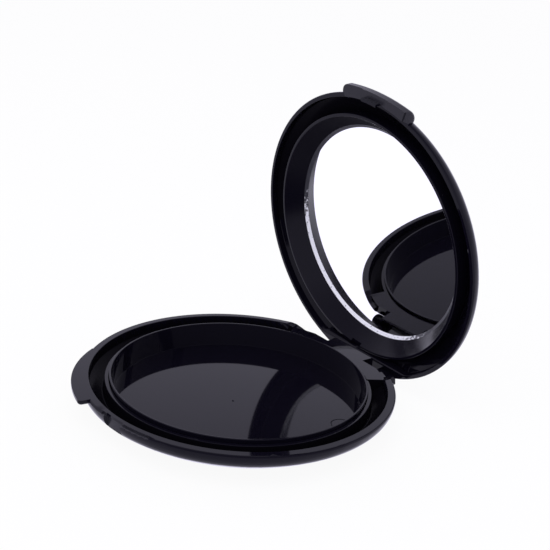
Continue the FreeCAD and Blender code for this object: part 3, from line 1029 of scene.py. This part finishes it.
@dataclass
class MirrorSet:
    """What the lid holds: the funnel frame, and the glass with its ground edge; in millimetres."""

    hinge: Hinge = field(default_factory=Hinge)
    lid: float = 7.95
    frame_radius: float = 31.7
    frame_draft: float = 0.1
    frame_lip: float = 0.7
    frame_recess: float = 0.55
    frame_slant: float = 3.0
    frame_wall: float = 0.8
    frame_foot: float = 4.469
    frame_hollow: float = 1.991
    fine_edge: float = 0.15
    notch_centre: float = -2.9
    notch_width: float = 3.4
    notch_height: float = 0.7
    glass_radius: float = 28.4
    glass_depth: float = 5.0
    glass_thickness: float = 1.0
    silver_depth: float = 0.7
    silver_radius: float = 27.2
    edge_radius: float = 28.1
    lean_across: float = math.radians(0.42)
    lean_along: float = math.radians(2.30)
    level: float = 0.999
    steps: int = 256
    round_steps: int = 4
    margin_gap: float = 0.01

    def values(self, material: Material, margin: Material) -> dict[str, Any]:
        """Inputs of the turning tree for a piece of the lid.

        Args:
            material: The piece's main material.
            margin: The material outside the margin radius.

        Returns:
            The inputs by name.
        """
        return {
            "Steps": self.steps,
            "Round Steps": self.round_steps,
            "Open Angle": (-self.hinge.angle, 0.0, 0.0),
            "Pivot": tuple(self.hinge.pivot()),
            "Margin Radius": (self.silver_radius + self.margin_gap) * MM,
            "Material": material,
            "Margin Material": margin,
        }

    def build_frame(self, tree: TurningTree) -> None:
        """Turns the funnel frame and dresses it.

        Args:
            tree: The tree that turns profiles.
        """
        lip = self.lid + self.frame_recess
        glass = self.lid + self.glass_depth
        outer = self.frame_radius - self.frame_draft
        opening = self.frame_radius - self.frame_lip - self.frame_slant
        leg = self.frame_wall * math.hypot(1.0, self.frame_slant / (glass - lip))
        corners = [
            (self.frame_radius, lip, self.fine_edge),
            (outer, self.lid + self.frame_foot, 0.0),
            (outer - self.frame_wall, self.lid + self.frame_foot, 0.0),
            (outer - self.frame_wall, self.lid + self.frame_hollow, 0.0),
            (opening + leg, glass, 0.0),
            (opening, glass, 0.0),
            (self.frame_radius - self.frame_lip, lip, self.fine_edge),
        ]
        values = self.values(FUNNEL_SATIN.material(), BLACK_GLOSS.material())
        values["Margin Radius"] = (self.frame_radius - self.frame_lip - self.fine_edge) * MM
        values["Notched"] = True
        values["Notch Centre"] = (self.notch_centre * MM, self.frame_radius * MM, lip * MM)
        values["Notch Size"] = (self.notch_width * MM, self.frame_radius * MM, 2.0 * self.notch_height * MM)
        piece = tree.turn("mirror_frame_ring", corners, values)
        outward(piece.data)
        ease_shading(piece)
        seat(piece, Body.LID, "mirror_frame")

    def build_glass(self, tree: TurningTree) -> None:
        """Turns the glass: the silvered layer, seen through it, and the ground edge round that.

        Args:
            tree: The tree that turns profiles.
        """
        front = self.lid + self.glass_depth
        back = front + self.glass_thickness
        corners = [
            (0.0, front + self.silver_depth, 0.0),
            (self.silver_radius, front + self.silver_depth, 0.0),
            (self.edge_radius, front, 0.0),
            (self.glass_radius, front, 0.0),
            (self.glass_radius, back, 0.0),
            (0.0, back, 0.0),
        ]
        piece = tree.turn("mirror_glass_disc", corners, self.values(SILVER.material(), GROUND.material()))
        outward(piece.data)
        self.lean_reflection(piece.data)
        seat(piece, Body.LID, "mirror_glass")

    def lean_reflection(self, mesh: Mesh) -> None:
        """Gives the silvered face the slight lean that the photograph's reflection shows.

        Args:
            mesh: The glass, open.
        """
        opening = self.hinge.opening().to_3x3()
        front = opening @ Vector((0.0, 0.0, -1.0))
        across, along = math.sin(self.lean_across), math.sin(self.lean_along)
        leaning = opening @ Vector((-across, -along, -1.0)).normalized()
        normals: list[Vector] = []
        for polygon in mesh.polygons:
            silvered = polygon.material_index == 0 and polygon.normal.dot(front) > self.level
            own = leaning if silvered else polygon.normal.copy()
            normals.extend([own] * polygon.loop_total)
        mesh.normals_split_custom_set(normals)


def dress_node(node: str, finish: Finish) -> None:
    """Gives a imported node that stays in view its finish.

    Args:
        node: The node's name.
        finish: The finish.
    """
    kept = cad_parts[node]
    kept.data.materials.clear()
    kept.data.materials.append(finish.material())
    LOG.info("%s: kept, in %s", node, finish.name)


@dataclass
class Studio:
    """Pale floor, soft light and the camera at the photograph's angle."""

    azimuth: float = math.radians(52.45)
    elevation: float = math.radians(26.043)
    distance: float = 217.41 * MM
    rim_height: float = 7.8 * MM
    aim_side: float = 6.072 * MM
    aim_rise: float = 25.466 * MM
    roll: float = math.radians(5.502)
    focal_pixels: float = 913.1
    picture_pixels: float = 550.0
    sensor: float = 36.0
    nearest: float = 0.01
    farthest: float = 20.0
    floor_size: float = 6.0
    floor_tone: float = 0.9
    room_tone: float = 1.0
    floor_glow: float = 0.93
    room_colour: Colour = (1.12, 1.085, 1.32)
    overhead_tone: float = 0.35
    dim_from: float = 0.55
    dim_to: float = 0.9
    lamp_size: float = 0.6
    lamp_watts: float = 2.0
    lamp_place: Direction = (0.15, -0.25, 0.7)

    def camera(self) -> None:
        """Places the camera."""
        a, e = self.azimuth, self.elevation
        back = Vector((math.sin(a) * math.cos(e), -math.cos(a) * math.cos(e), math.sin(e)))
        eye = back * self.distance
        aim = Vector((math.cos(a), math.sin(a), 0.0)) * self.aim_side + Vector((0.0, 0.0, self.aim_rise))
        forward = (aim - eye).normalized()
        right = forward.cross(Vector((0.0, 0.0, 1.0))).normalized()
        up = right.cross(forward)
        c, s = math.cos(self.roll), math.sin(self.roll)
        right, up = right * c + up * s, up * c - right * s
        turn = Matrix((right, up, -forward)).transposed().to_4x4()
        data = bpy.data.cameras.new("Photo camera")
        data.sensor_width = self.sensor
        data.lens = self.focal_pixels / self.picture_pixels * self.sensor
        data.clip_start, data.clip_end = self.nearest, self.farthest
        camera = put("Photo camera", data)
        camera.matrix_world = Matrix.Translation(eye + Vector((0.0, 0.0, self.rim_height))) @ turn
        bpy.context.scene.camera = camera

    def floor(self) -> None:
        """Lays the pale floor, which shows white and keeps a soft shadow."""
        half = self.floor_size / 2
        mesh = bpy.data.meshes.new("floor")
        corners = [(-half, -half, 0), (half, -half, 0), (half, half, 0), (-half, half, 0)]
        mesh.from_pydata(corners, [], [(0, 1, 2, 3)])
        plate = put("floor", mesh)
        material = bpy.data.materials.new("Pale floor")
        material.use_nodes = True
        bench = NodeBench(material.node_tree)
        matt = bench.take("ShaderNodeBsdfDiffuse", {"Color": (*[self.floor_tone] * 3, 1.0)})
        path = bench.add("ShaderNodeLightPath").outputs
        seen = bench.math("MAXIMUM", path["Is Camera Ray"], path["Is Glossy Ray"])
        seen = bench.math("MAXIMUM", seen, path["Is Transmission Ray"])
        glow = bench.take("ShaderNodeEmission", {"Color": WHITE})
        sheen = bench.take("ShaderNodeEmission", {"Color": (*self.room_colour, 1.0)})
        shown = bench.take("ShaderNodeMixShader", {0: path["Is Glossy Ray"], 1: glow, 2: sheen})
        share = bench.math("MULTIPLY", seen, self.floor_glow)
        mixed = bench.take("ShaderNodeMixShader", {0: share, 1: matt, 2: shown})
        bench.add("ShaderNodeOutputMaterial", {"Surface": mixed})
        mesh.materials.append(material)

    def light(self) -> None:
        """Sets the soft room light: white near the floor's edge, dimmer above."""
        world = bpy.data.worlds.new("Soft room")
        world.use_nodes = True
        bench = NodeBench(world.node_tree)
        direction = bench.add("ShaderNodeTexCoord").outputs["Generated"]
        height = bench.add("ShaderNodeSeparateXYZ", {0: direction}).outputs["Z"]
        dimming = bench.remap(height, self.dim_from, self.dim_to, (self.room_tone, self.overhead_tone))
        room = bench.take("ShaderNodeBackground", {"Color": (*self.room_colour, 1.0), "Strength": dimming})
        backdrop = bench.take("ShaderNodeBackground", {"Color": WHITE, "Strength": self.room_tone})
        seen = bench.add("ShaderNodeLightPath").outputs["Is Camera Ray"]
        mixed = bench.take("ShaderNodeMixShader", {0: seen, 1: room, 2: backdrop})
        bench.add("ShaderNodeOutputWorld", {"Surface": mixed})
        bpy.context.scene.world = world
        data = bpy.data.lights.new("Soft box", "AREA")
        data.shape = "DISK"
        data.size = self.lamp_size
        data.energy = self.lamp_watts
        lamp = put("Soft box", data)
        lamp.location = self.lamp_place
        lamp.rotation_euler = (-lamp.location).to_track_quat("-Z", "Y").to_euler()
        lamp.visible_glossy = False

    def build(self) -> None:
        """Sets the whole studio."""
        self.camera()
        self.floor()
        self.light()
        bpy.context.scene.view_settings.view_transform = "Standard"


def main() -> None:
    """Builds the pieces in order, then the studio."""
    logging.basicConfig(level=logging.INFO, format="%(name)s %(message)s")
    tree = TurningTree()
    MouldedShell("base_shell", Body.BASE, BASE_ZONES, BASE_BELLY).build()
    WellTray().build(tree)
    mirror = MirrorSet()
    MouldedShell("lid_shell", Body.LID, LID_ZONES, LID_CROWN, mirror.hinge.opening()).build()
    mirror.build_frame(tree)
    mirror.build_glass(tree)
    dress_node("mirror_tape", TAPE)
    for pin in ("hinge_pin_left", "hinge_pin_right"):
        dress_node(pin, STEEL)
    Studio().build()


if __name__ == "__main__":
    main()
